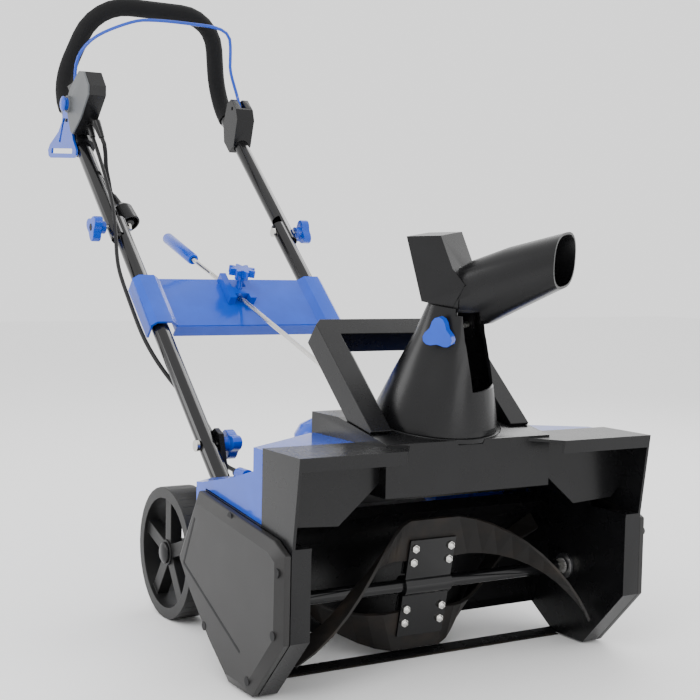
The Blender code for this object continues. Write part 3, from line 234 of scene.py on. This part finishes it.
# Auger: plated bolts through the plates, and a ribbed collar round the shaft.
bolts = bmesh.new()
for x in (-0.025, 0.025):
    for z in (0.046, 0.063, 0.122, 0.139):
        spot = struck("front_clamp_plate", (x, -0.2, z), (0, 1, 0))
        if spot:
            disc(bolts, spot + Vector((0, 0.0005, 0)), (0, -1, 0), 0.0052, 0.0036, 6)
            disc(bolts, spot + Vector((0, -0.0030, 0)), (0, -1, 0), 0.0040, 0.0014, 16, 0.0022)
soften(place_mesh("auger_plate_bolts", bolts, BOLT, "auger"), 0.0004)
collar = bmesh.new()
for k in range(COLLAR_RIBS):
    angle = math.tau * k / COLLAR_RIBS
    out = Vector((0, math.cos(angle), math.sin(angle)))
    disc(collar, AUGER_CENTRE + Vector((COLLAR_X, 0, 0)) + out * 0.0085, (1, 0, 0), 0.0014, 0.0100, 8)
place_mesh("shaft_collar_ribs", collar, LOOKS["zinc"], "auger")

# Side covers: their screws, and the line round the middle of each.
for side, body_side in ((-1, "left"), (1, "right")):
    screws = bmesh.new()
    for y, z in COVER_SCREWS:
        spot = struck(f"{body_side}_side_cover", (side * 0.4, y, z), (-side, 0, 0))
        if spot:
            disc(screws, spot - Vector((side * 0.0004, 0, 0)), (side, 0, 0), 0.0052, 0.0009, 24)
    place_mesh(f"{body_side}_cover_screws", screws, DARK_MARKS_AND_SHADE, "chassis")
    line_shape = bmesh.new()
    corners = [Vector(corner) for corner in COVER_LINE]
    for a, b in zip(corners, corners[1:]):
        across = Vector((-(b - a).y, (b - a).x)).normalized() * 0.0017
        strip = [tuple(p) for p in (a - across, b - across, b + across, a + across)]
        prism(line_shape, strip, side * COVER_X, side * 0.0007)
    bmesh.ops.recalc_face_normals(line_shape, faces=line_shape.faces)
    place_mesh(f"{body_side}_cover_line", line_shape, DARK_MARKS_AND_SHADE, "chassis")

# Knobs: a dark hexagon in each outer face, painted shade where its hexagonal hollow lies.
sockets = {"upper_knob_left": (-1, 0, 0), "lower_knob_left": (1, 0, 0), "upper_knob_right": (1, 0, 0),
           "lower_knob_right": (-1, 0, 0)}
for node, way in sockets.items():
    low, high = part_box(node)
    joint = next(j for j in frame["joints"] if j["child"] == BODY_OF[node])
    centre = Vector(joint["pos_m"])
    face_x = high[0] if way[0] > 0 else low[0]
    hexagon = bmesh.new()
    # The hexagon is painted shade, not a real hollow.
    disc(hexagon, (face_x - way[0] * 0.0006, centre.y, centre.z), way, 0.0062, 0.0009, 6)
    place_mesh(f"{node}_recess", hexagon, DARK_MARKS_AND_SHADE, BODY_OF[node])

# Wheels: shallow tread bars round the rim.
for side, label in ((-1, "left"), (1, "right")):
    tread = bmesh.new()
    for k in range(TREAD_BARS):
        turn = (Matrix.Translation((side * WHEEL_X, WHEEL_Y, WHEEL_Z)) @
                Matrix.Rotation(math.tau * k / TREAD_BARS, 4, "X"))
        bmesh.ops.create_cube(tread, size=1, matrix=turn @ Matrix.Translation((0, 0, 0.0858)) @
                              Matrix.Diagonal((0.034, 0.0042, 0.0014, 1)))
    soften(place_mesh(f"{label}_tread", tread, LOOKS["wheel_plastic"], f"wheel_{label}"), 0.0004)

# Pigtail: a short hanging cord, drawn along its own line.
def by_tube(x, along, normal):
    """A point beside the upper handle tube."""
    return Vector((x, *(FOLD + ALONG * along + NORMAL * normal)[1:]))


def smooth_route(points, spacing):
    """Points at an even spacing on a Catmull-Rom curve through the given points."""
    route = [Vector(p) for p in points]
    ends = [route[0] * 2 - route[1]] + route + [route[-1] * 2 - route[-2]]
    fine = []
    for a, b, c, d in zip(ends, ends[1:], ends[2:], ends[3:]):
        for step in range(20):
            t = step / 20
            fine.append(0.5 * ((2 * b) + (c - a) * t + (2 * a - 5 * b + 4 * c - d) * t ** 2
                               + (3 * b - a - 3 * c + d) * t ** 3))
    fine.append(route[-1])
    total = sum((q - p).length for p, q in zip(fine, fine[1:]))
    count = max(2, round(total / spacing))
    even, run, target = [fine[0]], 0.0, total / count
    for p, q in zip(fine, fine[1:]):
        step = (q - p).length
        while run + step >= target and len(even) < count:
            even.append(p.lerp(q, (target - run) / step))
            target += total / count
        run += step
    even.append(fine[-1])
    return even


PIGTAIL = [(-0.1375, 0.160, 0.050), (-0.1320, 0.143, 0.032), (-0.1285, 0.133, 0.012),
           (-0.1230, 0.121, -0.006), (-0.1180, 0.101, -0.019)]
relief_top, relief_end = by_tube(-0.1440, 0.1868, 0.0630), by_tube(*PIGTAIL[0])
neck, face = by_tube(*PIGTAIL[-1]), by_tube(-0.1080, 0.036, -0.022)
gap = (relief_end - relief_top).normalized() * GAP
out = (face - neck).normalized() * GAP
line = smooth_route([relief_end + gap * k for k in (1.5, 20, 35)] + [by_tube(*p) for p in PIGTAIL[1:-1]]
                    + [neck - out * k for k in (35, 20, 1.5)], 0.003)
cord_data = bpy.data.curves.new("pigtail_lead", "CURVE")
cord_data.dimensions = "3D"
cord_data.bevel_depth = CORD_R
cord_data.bevel_resolution = 5
cord_data.use_fill_caps = True
spline = cord_data.splines.new("POLY")
spline.points.add(len(line) - 1)
for point, spot in zip(spline.points, line):
    point.co = (*spot, 1)
cord_data.materials.append(LOOKS["cable"])
lead = bpy.data.objects.new("pigtail_lead", cord_data)
bpy.context.scene.collection.objects.link(lead)
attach(lead, "handle")
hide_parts("pigtail_cord")


floor = bmesh.new()
bmesh.ops.create_grid(floor, x_segments=1, y_segments=1, size=8)
ground = place_mesh("floor", floor, material("pale_floor", (0.93, 0.93, 0.93), 0.8), None)
ground.location.z = -0.0005

world = bpy.data.worlds.new("studio")
world.use_nodes = True
world.node_tree.nodes["Background"].inputs["Color"].default_value = (1, 1, 1, 1)
world.node_tree.nodes["Background"].inputs["Strength"].default_value = 1.5
bpy.context.scene.world = world
for name, at, size, power in (("key", (-1.8, -1.4, 2.3), 1.4, 34), ("side", (-2.0, 1.2, 1.2), 1.0, 14),
                              ("rim", (1.6, 1.3, 1.9), 1.2, 20), ("low", (0.4, -2.3, 0.7), 1.0, 9)):
    lamp = bpy.data.objects.new(name, bpy.data.lights.new(name, "AREA"))
    lamp.data.energy = power
    lamp.data.size = size
    lamp.location = at
    lamp.rotation_euler = (Vector((0, 0.2, 0.35)) - Vector(at)).to_track_quat("-Z", "Y").to_euler()
    bpy.context.scene.collection.objects.link(lamp)
